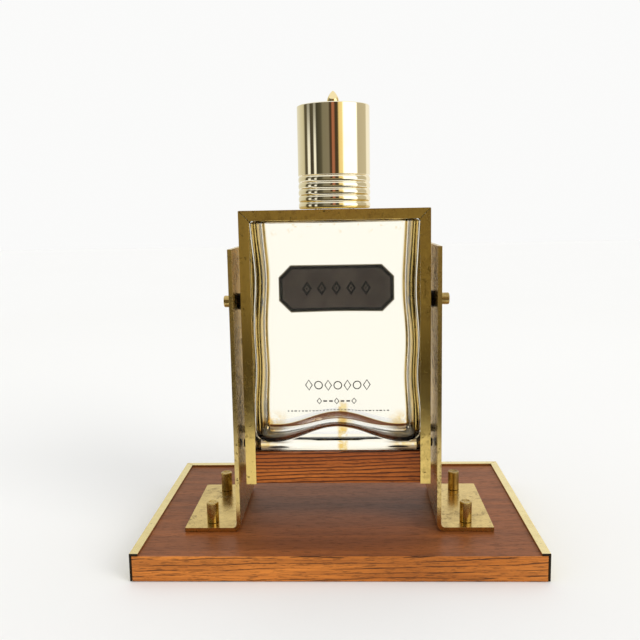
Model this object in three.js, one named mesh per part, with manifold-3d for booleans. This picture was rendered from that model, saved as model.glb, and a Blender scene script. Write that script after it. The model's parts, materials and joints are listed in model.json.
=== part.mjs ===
// A large cologne bottle in a brass cradle that swings between two brass uprights on a wooden base.
// Millimetres, +Z up. X runs along the pivot, +Y is the side that the bottle's label faces.
// The origin is the middle of the base's underside.

import * as THREE from "three";
import { mergeVertices } from "three/addons/utils/BufferGeometryUtils.js";
import Module from "manifold-3d";

const wasm = await Module();
wasm.setup();

// ---- Driving dimensions ----

// Clearances between pieces
const SEAT = 0.3; // between faces that rest on each other or were cut to fit
const SNUG = 0.15; // around a shank or pin that is fixed in its hole
const RUNNING = 0.1; // around the pivot pin, on the radius
const SIDE_GAP = 3.175; // between the cradle's legs and the uprights
const GROUND_GAP = 32.4; // between the hanging cradle and the board
const NECK_GAP = 1.1; // between the threads' crests and the hole in the cradle's top
const THROUGH = 1; // how far a cutting tool runs past the face that it opens

// Base: a board edged on three sides with brass angle
const BASE_WIDTH = 304.8;
const BASE_DEPTH = 203.2;
const BOARD_THICKNESS = 19.05;
const TRIM_WALL = 1.6;
const TRIM_COVER = 6.35; // width of the leg that lies on the board

// Brackets: flat bar bent to an L, the foot turned outwards
const BRACKET_THICKNESS = 3.2;
const BRACKET_WIDTH = 95.25;
const BRACKET_HEAD = 44; // from the pivot axis to the top of the upright
const BRACKET_REACH = 43.8; // from the upright's inner face to the foot's end
const BRACKET_BEND = 3.2; // inner radius of the bend
const BEND_STEPS = 6;
const BRACKET_SETBACK = 11.4; // how far the pivot stands from the middle of the base, towards -Y

// Round nuts with a screw from below, two to each foot
const NUT_DIAMETER = 9.5;
const NUT_CHAMFER = 0.6;
const FOOT_NUT_HEIGHT = 16;
const FOOT_NUT_PITCH = 69.85; // between the two nuts of one foot
const FOOT_NUT_OFFSET = 23.8; // from the upright's inner face to the nut's axis
const FOOT_NUT_BORE_DEPTH = 11;
const FOOT_SCREW_DIAMETER = 4.8;
const FOOT_SCREW_GRIP = 9; // length of the screw inside its nut
const FOOT_SCREW_HEAD_DIAMETER = 9;
const FOOT_SCREW_HEAD_HEIGHT = 3.2;
const FOOT_COUNTERBORE_MARGIN = 2; // round the screw's head
const FOOT_COUNTERBORE_DEPTH = 6;

// Pivot
const PIVOT_PIN_DIAMETER = 6.35;
const PIVOT_THREAD_DIAMETER = 4.8;
const PIVOT_THREAD_LENGTH = 7;
const PIVOT_NUT_LENGTH = 10.8;
const PIVOT_NUT_BORE_DEPTH = 8;
const SPACER_DIAMETER = 13.3;

// Cradle: three lengths of brass channel, mitred at the top, and a wooden block between the legs
const CRADLE_WIDTH = 146.05;
const CRADLE_DEPTH = 60.3;
const CRADLE_HEIGHT = 215.9;
const CRADLE_DROP = 143.6; // from the pivot axis down to the bottom of the legs
const CHANNEL_WALL = 1.6;
const CHANNEL_LIP = 7.94; // width of the flanges, web included
const BLOCK_HEIGHT = 25.4;
const BLOCK_SCREW_PITCH = 30;
const BLOCK_SCREW_DIAMETER = 3.2;
const BLOCK_SCREW_HEAD_DIAMETER = 6.2;
const BLOCK_SCREW_LENGTH = 18;
const BUMPER_DIAMETER = 7;
const BUMPER_HEIGHT = 2.2;
const BUMPER_PITCH = 40;
const BUMPER_DROP = 112.5; // from the pivot axis down to the bumper's middle
const PAD_LENGTH = 20;
const PAD_THICKNESS = 0.5;
const PAD_INSET = 4; // from the pad's long edges to the block's front and back

// Bottle
const GLASS_FACE_WALL = 5.5;
const GLASS_SIDE_WALL = 10;
const GLASS_BASE = 3.5; // at the two ends of the bottle
const GLASS_SHOULDER = 6;
const GLASS_CORNER = 6; // corners seen from the front
const GLASS_EDGE = 3; // edges between the faces and the sides
const CAVITY_CORNER = 9;
const RIDGE_WIDTH = 104; // the hump across the middle of the bottle's floor
const RIDGE_RISE = 12.5;
const RIDGE_STEPS = 12;
const PUNT_WIDTH = 104; // the shallow hollow of the underside
const PUNT_DEPTH = 34;
const PUNT_RISE = 1.5;
const NECK_DIAMETER = 31;
const NECK_BORE_DIAMETER = 23;
const NECK_HEIGHT = 23; // above the top of the cradle
const THREAD_STANDOUT = 1.4;
const THREAD_HEIGHT = 2;
const THREAD_PITCH = 5;
const THREAD_TURNS = 3;
const THREAD_SLOPE = 0.7; // height of each flank
const THREAD_ROOT = 1; // how far the thread reaches into the neck
const THREAD_START = 6.5; // from the mouth down to the first thread
const LABEL_WIDTH = 97;
const LABEL_HEIGHT = 39.6;
const LABEL_CHAMFER = 10;
const LABEL_THICKNESS = 0.6;
const LABEL_RISE = 7; // the label's middle above the pivot axis

// Cap
const CAP_DIAMETER = 56.7;
const CAP_HEIGHT = 78.9;
const CAP_WALL = 1;
const CAP_CORNER = 0.8;
const CAP_STANDOFF = 0.6; // between the cradle's top and the cap's rim
const RIB_PITCH = 5;
const RIB_COUNT = 5;
const RIB_DEPTH = 0.9;
const RIB_STEPS = 3; // facets across one rib
const SLEEVE_WALL = 2;
const SLEEVE_TOP = 2;
const SLEEVE_CLEARANCE = 0.6; // between the threads' crests and the sleeve
const LINER_THICKNESS = 1.4;
const FINIAL_DIAMETER = 9.5;
const FINIAL_COLLAR = 5.6;
const FINIAL_POINT = 6;
const FINIAL_STEM_DIAMETER = 4;
const FINIAL_STEM_LENGTH = 5;

// ---- Places worked out from them ----

const BRACKET_SPACING = CRADLE_WIDTH + 2 * SIDE_GAP; // between the uprights' inner faces
const TRIM_TOP = BOARD_THICKNESS + SEAT + TRIM_WALL;
const FOOT_BOTTOM = BOARD_THICKNESS + SEAT;
const FOOT_TOP = FOOT_BOTTOM + BRACKET_THICKNESS;
const UPRIGHT_INNER = BRACKET_SPACING / 2;
const UPRIGHT_OUTER = UPRIGHT_INNER + BRACKET_THICKNESS;
const PIVOT_Z = BOARD_THICKNESS + GROUND_GAP + CRADLE_DROP;
const PIVOT_Y = -BRACKET_SETBACK;
const BRACKET_RISE = PIVOT_Z + BRACKET_HEAD - FOOT_BOTTOM;
const FOOT_NUT_X = UPRIGHT_INNER + FOOT_NUT_OFFSET;
const FOOT_COUNTERBORE_DIAMETER = FOOT_SCREW_HEAD_DIAMETER + 2 * FOOT_COUNTERBORE_MARGIN;

// Inside the cradle, heights count from the pivot axis.
const CRADLE_SIDE = CRADLE_WIDTH / 2;
const CRADLE_BOTTOM = -CRADLE_DROP;
const CRADLE_TOP = CRADLE_BOTTOM + CRADLE_HEIGHT;
const INNER_WIDTH = CRADLE_WIDTH - 2 * (CHANNEL_WALL + SEAT);
const INNER_DEPTH = CRADLE_DEPTH - 2 * (CHANNEL_WALL + SEAT);
const BLOCK_TOP = CRADLE_BOTTOM + BLOCK_HEIGHT;
const BLOCK_SCREW_Z = CRADLE_BOTTOM + BLOCK_HEIGHT / 2;
const PAD_BOTTOM = BLOCK_TOP + SEAT;
const GLASS_BOTTOM = PAD_BOTTOM + PAD_THICKNESS + SEAT;
const GLASS_TOP = CRADLE_TOP - CHANNEL_WALL - SEAT;
const MOUTH = CRADLE_TOP + NECK_HEIGHT;
const THREAD_DIAMETER = NECK_DIAMETER + 2 * THREAD_STANDOUT;
const NECK_HOLE_DIAMETER = THREAD_DIAMETER + 2 * NECK_GAP;
const CAP_BOTTOM = CRADLE_TOP + CAP_STANDOFF;
const CAP_INNER_RADIUS = CAP_DIAMETER / 2 - RIB_DEPTH - CAP_WALL;
const SLEEVE_INNER_RADIUS = THREAD_DIAMETER / 2 + SLEEVE_CLEARANCE;

// ---- Finishes ----

const brass = finish(0xb08d3c, 0.28, 1);
const wornBrass = finish(0xa8893f, 0.4, 1);
const gold = finish(0xd9c386, 0.12, 1);
const steel = finish(0x9a9a98, 0.35, 1);
const oak = finish(0x9a5a2b, 0.45, 0);
const blackRubber = finish(0x141414, 0.7, 0);
const felt = finish(0x1d1a20, 0.95, 0);
const clearGlass = new THREE.MeshStandardMaterial({
  color: 0xeef0e6,
  roughness: 0.03,
  metalness: 0,
  transparent: true,
  opacity: 0.35,
});
const enamel = finish(0x3c2a22, 0.35, 0);
const whitePlastic = finish(0xe8e4da, 0.5, 0);
const foam = finish(0xf2efe6, 0.9, 0);

function finish(color, roughness, metalness) {
  return new THREE.MeshStandardMaterial({ color, roughness, metalness });
}

// ---- Shape helpers ----

function solidOf(geometry) {
  const loose = geometry.index ? geometry.toNonIndexed() : geometry.clone();
  loose.deleteAttribute("normal");
  loose.deleteAttribute("uv");
  const merged = mergeVertices(loose, 1e-4);
  return new wasm.Manifold(
    new wasm.Mesh({
      numProp: 3,
      vertProperties: merged.attributes.position.array,
      triVerts: new Uint32Array(merged.index.array),
    }),
  );
}

function geometryOf(solid) {
  const { vertProperties, triVerts } = solid.getMesh();
  const geometry = new THREE.BufferGeometry();
  geometry.setAttribute("position", new THREE.BufferAttribute(vertProperties, 3));
  geometry.setIndex(new THREE.BufferAttribute(triVerts, 1));
  geometry.computeVertexNormals();
  return geometry;
}

function cut(body, ...tools) {
  return geometryOf(tools.reduce((solid, tool) => solid.subtract(solidOf(tool)), solidOf(body)));
}

function join(first, ...others) {
  return geometryOf(others.reduce((solid, other) => solid.add(solidOf(other)), solidOf(first)));
}

// An outline in x and y, raised along +Z from z = 0.
function raised(points, height) {
  const shape = new THREE.Shape(points.map(([x, y]) => new THREE.Vector2(x, y)));
  return new THREE.ExtrudeGeometry(shape, { depth: height, bevelEnabled: false });
}

// A profile of [radius, z] points turned round the Z axis, bottom first.
function turned(profile, segments = 24) {
  const points = profile.map(([radius, z]) => new THREE.Vector2(radius, z));
  return new THREE.LatheGeometry(points, segments).rotateX(Math.PI / 2);
}

// A plain rod along Z between two heights.
function rod(diameter, low, high, segments = 24) {
  const radius = diameter / 2;
  return turned([[0, low], [radius, low], [radius, high], [0, high]], segments);
}

// The same, turned to lie along +X.
function rodX(diameter, low, high, segments = 24) {
  return rod(diameter, low, high, segments).rotateY(Math.PI / 2);
}

// A block centred in x and y between two heights, rounded at its corners and along its edges.
function roundedBlock(width, depth, low, high, corner, edge) {
  const w = width / 2 - edge;
  const h = (high - low) / 2 - edge;
  const r = corner - edge;
  const shape = new THREE.Shape();
  shape.moveTo(-w + r, -h);
  shape.lineTo(w - r, -h);
  shape.absarc(w - r, -h + r, r, -Math.PI / 2, 0);
  shape.lineTo(w, h - r);
  shape.absarc(w - r, h - r, r, 0, Math.PI / 2);
  shape.lineTo(-w + r, h);
  shape.absarc(-w + r, h - r, r, Math.PI / 2, Math.PI);
  shape.lineTo(-w, -h + r);
  shape.absarc(-w + r, -h + r, r, Math.PI, 1.5 * Math.PI);
  return new THREE.ExtrudeGeometry(shape, {
    depth: depth - 2 * edge,
    bevelThickness: edge,
    bevelSize: edge,
    bevelSegments: 2,
    curveSegments: 3,
  })
    .translate(0, 0, -(depth - 2 * edge) / 2)
    .rotateX(Math.PI / 2)
    .translate(0, 0, (low + high) / 2);
}

function mesh(name, geometry, material) {
  const piece = new THREE.Mesh(geometry, material);
  piece.name = name;
  return piece;
}

// Takes away what lies beyond a mitre plane through a corner, seen along one axis.
// out points from the plane into the part that goes.
function mitreTool(corner, out, size) {
  const along = out.clone().normalize();
  const block = new THREE.BoxGeometry(size, size, size);
  const turnedBlock = out.z === 0 ? block.rotateZ(Math.PI / 4) : block.rotateY(Math.PI / 4);
  const middle = corner.clone().addScaledVector(along, size / 2 - SEAT / 2);
  return turnedBlock.translate(middle.x, middle.y, middle.z);
}

function flipped(points) {
  return points.map(([x, y]) => [-x, y]);
}

const vec = (x, y, z) => new THREE.Vector3(x, y, z);

// ---- Base ----

function footPlaces() {
  const places = [];
  for (const [side, x] of [["left", -FOOT_NUT_X], ["right", FOOT_NUT_X]]) {
    for (const [end, y] of [["rear", -FOOT_NUT_PITCH / 2], ["front", FOOT_NUT_PITCH / 2]]) {
      places.push({ name: `${side}_${end}`, x, y: PIVOT_Y + y });
    }
  }
  return places;
}

function baseBoard() {
  const width = BASE_WIDTH - 2 * (TRIM_WALL + SEAT);
  const depth = BASE_DEPTH - TRIM_WALL - SEAT;
  const board = new THREE.BoxGeometry(width, depth, BOARD_THICKNESS);
  board.translate(0, (depth - BASE_DEPTH) / 2, BOARD_THICKNESS / 2);
  const holes = footPlaces().flatMap(({ x, y }) => [
    rod(FOOT_SCREW_DIAMETER + 2 * SNUG, -THROUGH, BOARD_THICKNESS + THROUGH).translate(x, y, 0),
    rod(FOOT_COUNTERBORE_DIAMETER, -THROUGH, FOOT_COUNTERBORE_DEPTH).translate(x, y, 0),
  ]);
  return mesh("base_board", cut(board, ...holes), oak);
}

// Brass angle: one leg up the board's edge, the other lying on its top.
function edgeTrims() {
  const section = [
    [0, 0],
    [TRIM_WALL, 0],
    [TRIM_WALL, TRIM_TOP - TRIM_WALL],
    [TRIM_COVER, TRIM_TOP - TRIM_WALL],
    [TRIM_COVER, TRIM_TOP],
    [0, TRIM_TOP],
  ];
  const x = BASE_WIDTH / 2;
  const y = BASE_DEPTH / 2;
  const leftCorner = vec(-x, y, 0);
  const rightCorner = vec(x, y, 0);
  const left = raised(section, BASE_DEPTH).rotateX(Math.PI / 2).translate(-x, y, 0);
  const right = raised(flipped(section), BASE_DEPTH).rotateX(Math.PI / 2).translate(x, y, 0);
  const front = raised(section, BASE_WIDTH).rotateX(Math.PI / 2).rotateZ(-Math.PI / 2);
  front.translate(x, y, 0);
  const size = BASE_WIDTH;
  return [
    mesh("edge_trim_left", cut(left, mitreTool(leftCorner, vec(1, 1, 0), size)), brass),
    mesh("edge_trim_right", cut(right, mitreTool(rightCorner, vec(-1, 1, 0), size)), brass),
    mesh(
      "edge_trim_front",
      cut(
        front,
        mitreTool(leftCorner, vec(-1, -1, 0), size),
        mitreTool(rightCorner, vec(1, -1, 0), size),
      ),
      brass,
    ),
  ];
}

// ---- Brackets ----

// Flat bar bent to an L: the upright's inner face at x = 0, the foot running out to +X.
function bracketGeometry() {
  const inner = BRACKET_BEND;
  const outer = BRACKET_BEND + BRACKET_THICKNESS;
  const bend = (centreX, centreY, radius, from, to) =>
    Array.from({ length: BEND_STEPS + 1 }, (_, i) => {
      const angle = from + ((to - from) * i) / BEND_STEPS;
      return [centreX + radius * Math.cos(angle), centreY + radius * Math.sin(angle)];
    });
  const section = [
    ...bend(outer, outer, outer, Math.PI, 1.5 * Math.PI),
    [BRACKET_REACH, 0],
    [BRACKET_REACH, BRACKET_THICKNESS],
    ...bend(outer, outer, inner, 1.5 * Math.PI, Math.PI),
    [BRACKET_THICKNESS, BRACKET_RISE],
    [0, BRACKET_RISE],
  ];
  return raised(section, BRACKET_WIDTH)
    .rotateX(Math.PI / 2)
    .translate(0, BRACKET_WIDTH / 2, 0);
}

function brackets() {
  return [["left", -1], ["right", 1]].map(([side, sign]) => {
    const plain = bracketGeometry().translate(UPRIGHT_INNER, PIVOT_Y, FOOT_BOTTOM);
    const placed = sign > 0 ? plain : plain.rotateZ(Math.PI).translate(0, 2 * PIVOT_Y, 0);
    const reach = UPRIGHT_OUTER + THROUGH;
    const pivotHole = rodX(PIVOT_PIN_DIAMETER + 2 * RUNNING, UPRIGHT_INNER - THROUGH, reach);
    if (sign < 0) pivotHole.rotateZ(Math.PI);
    pivotHole.translate(0, PIVOT_Y, PIVOT_Z);
    const screwHoles = footPlaces()
      .filter(({ x }) => x * sign > 0)
      .map(({ x, y }) => {
        const diameter = FOOT_SCREW_DIAMETER + 2 * SNUG;
        const hole = rod(diameter, FOOT_BOTTOM - THROUGH, FOOT_TOP + THROUGH);
        return hole.translate(x, y, 0);
      });
    return mesh(`bracket_${side}`, cut(placed, pivotHole, ...screwHoles), wornBrass);
  });
}

// A round nut with a blind bore in one end, standing on z = 0, its free end chamfered.
function roundNut(length, boreDiameter, boreDepth) {
  const radius = NUT_DIAMETER / 2;
  const bore = boreDiameter / 2;
  return turned([
    [0, boreDepth],
    [bore, boreDepth],
    [bore, 0],
    [radius, 0],
    [radius, length - NUT_CHAMFER],
    [radius - NUT_CHAMFER, length],
    [0, length],
  ]);
}

function footNuts() {
  return footPlaces().map(({ name, x, y }) => {
    const bore = FOOT_SCREW_DIAMETER + 2 * SNUG;
    const nut = mesh(
      `foot_nut_${name}`,
      roundNut(FOOT_NUT_HEIGHT, bore, FOOT_NUT_BORE_DEPTH),
      brass,
    );
    nut.position.set(x, y, FOOT_TOP + SEAT);
    return nut;
  });
}

function footScrews() {
  const headTop = FOOT_COUNTERBORE_DEPTH - SEAT;
  const shank = FOOT_SCREW_DIAMETER / 2;
  const head = FOOT_SCREW_HEAD_DIAMETER / 2;
  const profile = [
    [0, headTop - FOOT_SCREW_HEAD_HEIGHT],
    [head, headTop - FOOT_SCREW_HEAD_HEIGHT],
    [head, headTop],
    [shank, headTop],
    [shank, FOOT_TOP + SEAT + FOOT_SCREW_GRIP],
    [0, FOOT_TOP + SEAT + FOOT_SCREW_GRIP],
  ];
  return footPlaces().map(({ name, x, y }) => {
    const screw = mesh(`foot_screw_${name}`, turned(profile), steel);
    screw.position.set(x, y, 0);
    return screw;
  });
}

// ---- Cradle ----

// Channel with its back on x = 0 and its flanges towards +X.
function channelSection() {
  const y = CRADLE_DEPTH / 2;
  return [
    [0, -y],
    [CHANNEL_LIP, -y],
    [CHANNEL_LIP, -y + CHANNEL_WALL],
    [CHANNEL_WALL, -y + CHANNEL_WALL],
    [CHANNEL_WALL, y - CHANNEL_WALL],
    [CHANNEL_LIP, y - CHANNEL_WALL],
    [CHANNEL_LIP, y],
    [0, y],
  ];
}

// Places of the screws that hold the block, on the cradle's left side.
function blockScrewPlaces() {
  return [["rear", -BLOCK_SCREW_PITCH / 2], ["front", BLOCK_SCREW_PITCH / 2]];
}

// A countersunk wood screw along +X, its head's face on x = 0.
function woodScrew(clearance) {
  const head = BLOCK_SCREW_HEAD_DIAMETER / 2 + clearance;
  const shank = BLOCK_SCREW_DIAMETER / 2 + clearance;
  const length = BLOCK_SCREW_LENGTH + clearance;
  return turned([
    [0, -clearance],
    [head, -clearance],
    [head, 0],
    [shank, head - shank],
    [shank, length - shank],
    [0, length],
  ]).rotateY(Math.PI / 2);
}

function cradleChannels() {
  const leftCorner = vec(-CRADLE_SIDE, 0, CRADLE_TOP);
  const rightCorner = vec(CRADLE_SIDE, 0, CRADLE_TOP);
  const size = CRADLE_HEIGHT;
  const legs = [["left", -1, leftCorner], ["right", 1, rightCorner]].map(
    ([side, sign, corner]) => {
      const section = sign < 0 ? channelSection() : flipped(channelSection());
      const leg = raised(section, CRADLE_HEIGHT).translate(sign * CRADLE_SIDE, 0, CRADLE_BOTTOM);
      const pinHole = rodX(
        PIVOT_PIN_DIAMETER + 2 * SNUG,
        CRADLE_SIDE - CHANNEL_WALL - THROUGH,
        CRADLE_SIDE + THROUGH,
      );
      if (sign < 0) pinHole.rotateZ(Math.PI);
      const sinks = blockScrewPlaces().map(([, y]) => blockScrewSolid(sign, y, SNUG));
      const mitre = mitreTool(corner, vec(-sign, 0, 1), size);
      return mesh(`cradle_channel_${side}`, cut(leg, mitre, pinHole, ...sinks), brass);
    },
  );
  const bar = raised(channelSection(), CRADLE_WIDTH)
    .rotateY(Math.PI / 2)
    .translate(-CRADLE_SIDE, 0, CRADLE_TOP);
  const holeBottom = CRADLE_TOP - CHANNEL_WALL - THROUGH;
  const neckHole = rod(NECK_HOLE_DIAMETER, holeBottom, CRADLE_TOP + THROUGH, 48);
  const top = cut(
    bar,
    mitreTool(leftCorner, vec(-1, 0, -1), size),
    mitreTool(rightCorner, vec(1, 0, -1), size),
    neckHole,
  );
  return [...legs, mesh("cradle_channel_top", top, brass)];
}

// A wood screw through the left (-1) or right (1) leg, its head flush with the leg.
function blockScrewSolid(sign, y, clearance) {
  const screw = woodScrew(clearance);
  if (sign > 0) screw.rotateZ(Math.PI);
  return screw.translate(sign * CRADLE_SIDE, y, BLOCK_SCREW_Z);
}

function cradleBlock() {
  const block = new THREE.BoxGeometry(INNER_WIDTH, INNER_DEPTH, BLOCK_HEIGHT);
  block.translate(0, 0, CRADLE_BOTTOM + BLOCK_HEIGHT / 2);
  const holes = [-1, 1].flatMap((sign) =>
    blockScrewPlaces().map(([, y]) => blockScrewSolid(sign, y, SNUG)),
  );
  return mesh("cradle_block", cut(block, ...holes), oak);
}

function blockScrews() {
  return [["left", -1], ["right", 1]].flatMap(([side, sign]) =>
    blockScrewPlaces().map(([end, y]) =>
      mesh(`block_screw_${side}_${end}`, blockScrewSolid(sign, y, 0), brass),
    ),
  );
}

// Strips of felt that the bottle stands on, one at each end of the block.
function restPads() {
  return [["left", -1], ["right", 1]].map(([side, sign]) => {
    const depth = INNER_DEPTH - 2 * PAD_INSET;
    const pad = new THREE.BoxGeometry(PAD_LENGTH, depth, PAD_THICKNESS);
    pad.translate(
      sign * (INNER_WIDTH / 2 - PAD_LENGTH / 2 - SEAT),
      0,
      PAD_BOTTOM + PAD_THICKNESS / 2,
    );
    return mesh(`rest_pad_${side}`, pad, felt);
  });
}

// Rubber buttons low on the legs, which keep the cradle clear of the uprights.
function bumpers() {
  const seat = CRADLE_SIDE + SEAT;
  return [["left", -1], ["right", 1]].flatMap(([side, sign]) =>
    [["rear", -BUMPER_PITCH / 2], ["front", BUMPER_PITCH / 2]].map(([end, y]) => {
      const button = rodX(BUMPER_DIAMETER, seat, seat + BUMPER_HEIGHT);
      if (sign < 0) button.rotateZ(Math.PI);
      button.translate(0, y, -BUMPER_DROP);
      return mesh(`side_bumper_${side}_${end}`, button, blackRubber);
    }),
  );
}

// ---- Pivot ----

// Each side's pin is staked in the cradle's leg and turns in the upright's hole.
function pivotPieces() {
  const pin = PIVOT_PIN_DIAMETER / 2;
  const thread = PIVOT_THREAD_DIAMETER / 2;
  const start = CRADLE_SIDE - CHANNEL_WALL;
  const shoulder = UPRIGHT_OUTER + SEAT;
  const thickness = SIDE_GAP - 2 * SEAT;
  const bore = PIVOT_PIN_DIAMETER / 2 + SNUG;
  return [["left", -1], ["right", 1]].flatMap(([side, sign]) => {
    const outwards = (geometry) => {
      geometry.rotateY(Math.PI / 2);
      return sign < 0 ? geometry.rotateZ(Math.PI) : geometry;
    };
    const pinSolid = turned([
      [0, start],
      [pin, start],
      [pin, shoulder],
      [thread, shoulder],
      [thread, shoulder + PIVOT_THREAD_LENGTH],
      [0, shoulder + PIVOT_THREAD_LENGTH],
    ]);
    const spacerSolid = turned([
      [bore, CRADLE_SIDE + SEAT],
      [SPACER_DIAMETER / 2, CRADLE_SIDE + SEAT],
      [SPACER_DIAMETER / 2, CRADLE_SIDE + SEAT + thickness],
      [bore, CRADLE_SIDE + SEAT + thickness],
      [bore, CRADLE_SIDE + SEAT],
    ]);
    const nutSolid = roundNut(
      PIVOT_NUT_LENGTH,
      PIVOT_THREAD_DIAMETER + 2 * SNUG,
      PIVOT_NUT_BORE_DEPTH,
    ).translate(0, 0, shoulder + SNUG);
    return [
      mesh(`pivot_pin_${side}`, outwards(pinSolid), steel),
      mesh(`pivot_spacer_${side}`, outwards(spacerSolid), blackRubber),
      mesh(`pivot_nut_${side}`, outwards(nutSolid), brass),
    ];
  });
}

// ---- Bottle ----

// The floor's hump in x and z: level at its two ends and round at its crest.
function ridgeOutline() {
  const crest = Array.from({ length: RIDGE_STEPS + 1 }, (_, i) => {
    const along = i / RIDGE_STEPS - 0.5;
    const height = RIDGE_RISE * Math.cos(Math.PI * along) ** 2;
    return [-along * RIDGE_WIDTH, height];
  });
  return [[-RIDGE_WIDTH / 2, -THROUGH], [RIDGE_WIDTH / 2, -THROUGH], ...crest];
}

function glassBottle() {
  const body = roundedBlock(
    INNER_WIDTH,
    INNER_DEPTH,
    GLASS_BOTTOM,
    GLASS_TOP,
    GLASS_CORNER,
    GLASS_EDGE,
  );
  const neck = rod(NECK_DIAMETER, GLASS_TOP - THROUGH, MOUTH, 40);
  const threads = Array.from({ length: THREAD_TURNS }, (_, i) => {
    const crest = MOUTH - THREAD_START - i * THREAD_PITCH;
    const root = NECK_DIAMETER / 2 - THREAD_ROOT;
    return turned([
      [root, crest - THREAD_HEIGHT / 2 - THREAD_SLOPE],
      [THREAD_DIAMETER / 2, crest - THREAD_HEIGHT / 4],
      [THREAD_DIAMETER / 2, crest + THREAD_HEIGHT / 4],
      [root, crest + THREAD_HEIGHT / 2 + THREAD_SLOPE],
      [root, crest - THREAD_HEIGHT / 2 - THREAD_SLOPE],
    ], 40);
  });
  const room = roundedBlock(
    INNER_WIDTH - 2 * GLASS_SIDE_WALL,
    INNER_DEPTH - 2 * GLASS_FACE_WALL,
    GLASS_BOTTOM + GLASS_BASE,
    GLASS_TOP - GLASS_SHOULDER,
    CAVITY_CORNER,
    GLASS_EDGE,
  );
  const ridge = raised(ridgeOutline(), INNER_DEPTH)
    .rotateX(Math.PI / 2)
    .translate(0, INNER_DEPTH / 2, GLASS_BOTTOM + GLASS_BASE);
  const cavity = cut(room, ridge);
  const ceiling = GLASS_TOP - GLASS_SHOULDER;
  const bore = rod(NECK_BORE_DIAMETER, ceiling - THROUGH, MOUTH + THROUGH, 40);
  // The underside's hollow: a shallow dome, wider than it is deep.
  const punt = new THREE.SphereGeometry(1, 24, 8)
    .scale(PUNT_WIDTH / 2, PUNT_DEPTH / 2, PUNT_RISE)
    .translate(0, 0, GLASS_BOTTOM);
  return mesh(
    "glass_bottle",
    cut(join(body, neck, ...threads), cavity, bore, punt),
    clearGlass,
  );
}

function labelPlaque() {
  const w = LABEL_WIDTH / 2;
  const h = LABEL_HEIGHT / 2;
  const c = LABEL_CHAMFER;
  const outline = [
    [-w + c, -h],
    [w - c, -h],
    [w, -h + c],
    [w, h - c],
    [w - c, h],
    [-w + c, h],
    [-w, h - c],
    [-w, -h + c],
  ];
  const plaque = raised(outline, LABEL_THICKNESS).rotateX(Math.PI / 2);
  plaque.translate(0, INNER_DEPTH / 2 + SEAT + LABEL_THICKNESS, LABEL_RISE);
  return mesh("label_plaque", plaque, enamel);
}

// ---- Cap ----

function capPieces() {
  const outer = CAP_DIAMETER / 2;
  const inner = CAP_INNER_RADIUS;
  const low = CAP_BOTTOM;
  const high = CAP_BOTTOM + CAP_HEIGHT;
  const arcRadius = ((RIB_PITCH / 2) ** 2 + RIB_DEPTH ** 2) / (2 * RIB_DEPTH);
  const ribs = [];
  for (let rib = 0; rib < RIB_COUNT; rib++) {
    for (let step = 0; step < RIB_STEPS; step++) {
      const z = (step / RIB_STEPS - 0.5) * RIB_PITCH;
      const bulge = Math.sqrt(arcRadius ** 2 - z ** 2) - (arcRadius - RIB_DEPTH);
      ribs.push([outer - RIB_DEPTH + bulge, low + (rib + step / RIB_STEPS) * RIB_PITCH]);
    }
  }
  const shell = turned([
    [0, high - CAP_WALL],
    [inner, high - CAP_WALL],
    [inner, low],
    ...ribs,
    [outer - RIB_DEPTH, low + RIB_COUNT * RIB_PITCH],
    [outer, low + RIB_COUNT * RIB_PITCH + RIB_DEPTH],
    [outer, high - CAP_CORNER],
    [outer - CAP_CORNER, high],
    [0, high],
  ], 48);
  const holeLow = high - CAP_WALL - THROUGH;
  const stemHole = rod(FINIAL_STEM_DIAMETER + 2 * SNUG, holeLow, high + THROUGH);

  // The sleeve hangs from a flange inside the shell's rim and is closed over the mouth.
  const flange = inner - SEAT;
  const bore = SLEEVE_INNER_RADIUS;
  const wall = SLEEVE_INNER_RADIUS + SLEEVE_WALL;
  const ceiling = MOUTH + 2 * SEAT + LINER_THICKNESS;
  const sleeve = turned([
    [0, ceiling],
    [bore, ceiling],
    [bore, low],
    [flange, low],
    [flange, low + SLEEVE_TOP],
    [wall, low + SLEEVE_TOP],
    [wall, ceiling + SLEEVE_TOP],
    [0, ceiling + SLEEVE_TOP],
  ], 40);
  const liner = rod(2 * (bore - SEAT), MOUTH + SEAT, MOUTH + SEAT + LINER_THICKNESS, 40);
  const finial = turned([
    [0, high - CAP_WALL - FINIAL_STEM_LENGTH],
    [FINIAL_STEM_DIAMETER / 2, high - CAP_WALL - FINIAL_STEM_LENGTH],
    [FINIAL_STEM_DIAMETER / 2, high + SEAT],
    [FINIAL_DIAMETER / 2, high + SEAT],
    [FINIAL_DIAMETER / 2, high + SEAT + FINIAL_COLLAR],
    [0, high + SEAT + FINIAL_COLLAR + FINIAL_POINT],
  ]);
  return [
    mesh("cap_shell", cut(shell, stemHole), gold),
    mesh("cap_sleeve", sleeve, whitePlastic),
    mesh("cap_liner", liner, foam),
    mesh("cap_finial", finial, brass),
  ];
}

// ---- The whole object ----

const stand = new THREE.Group();
stand.add(baseBoard(), ...edgeTrims(), ...brackets(), ...footNuts(), ...footScrews());

const cap = new THREE.Group();
cap.add(...capPieces());

const cradle = new THREE.Group();
cradle.position.set(0, PIVOT_Y, PIVOT_Z);
cradle.add(
  ...cradleChannels(),
  cradleBlock(),
  ...blockScrews(),
  ...restPads(),
  ...bumpers(),
  ...pivotPieces(),
  glassBottle(),
  labelPlaque(),
  cap,
);

const swingStand = new THREE.Group();
swingStand.add(stand, cradle);

export default swingStand;
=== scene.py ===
# %% [markdown]
# # A cologne bottle that swings in a brass cradle
# The object is a big square bottle held in a cradle of brass channel. The cradle turns on two pins
# between brass uprights, and the uprights stand on an oak board edged with brass angle.
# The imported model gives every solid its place, so each visible piece here starts from that frame.

import json
import math

import bmesh
import bpy
from mathutils import Matrix, Vector

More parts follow.
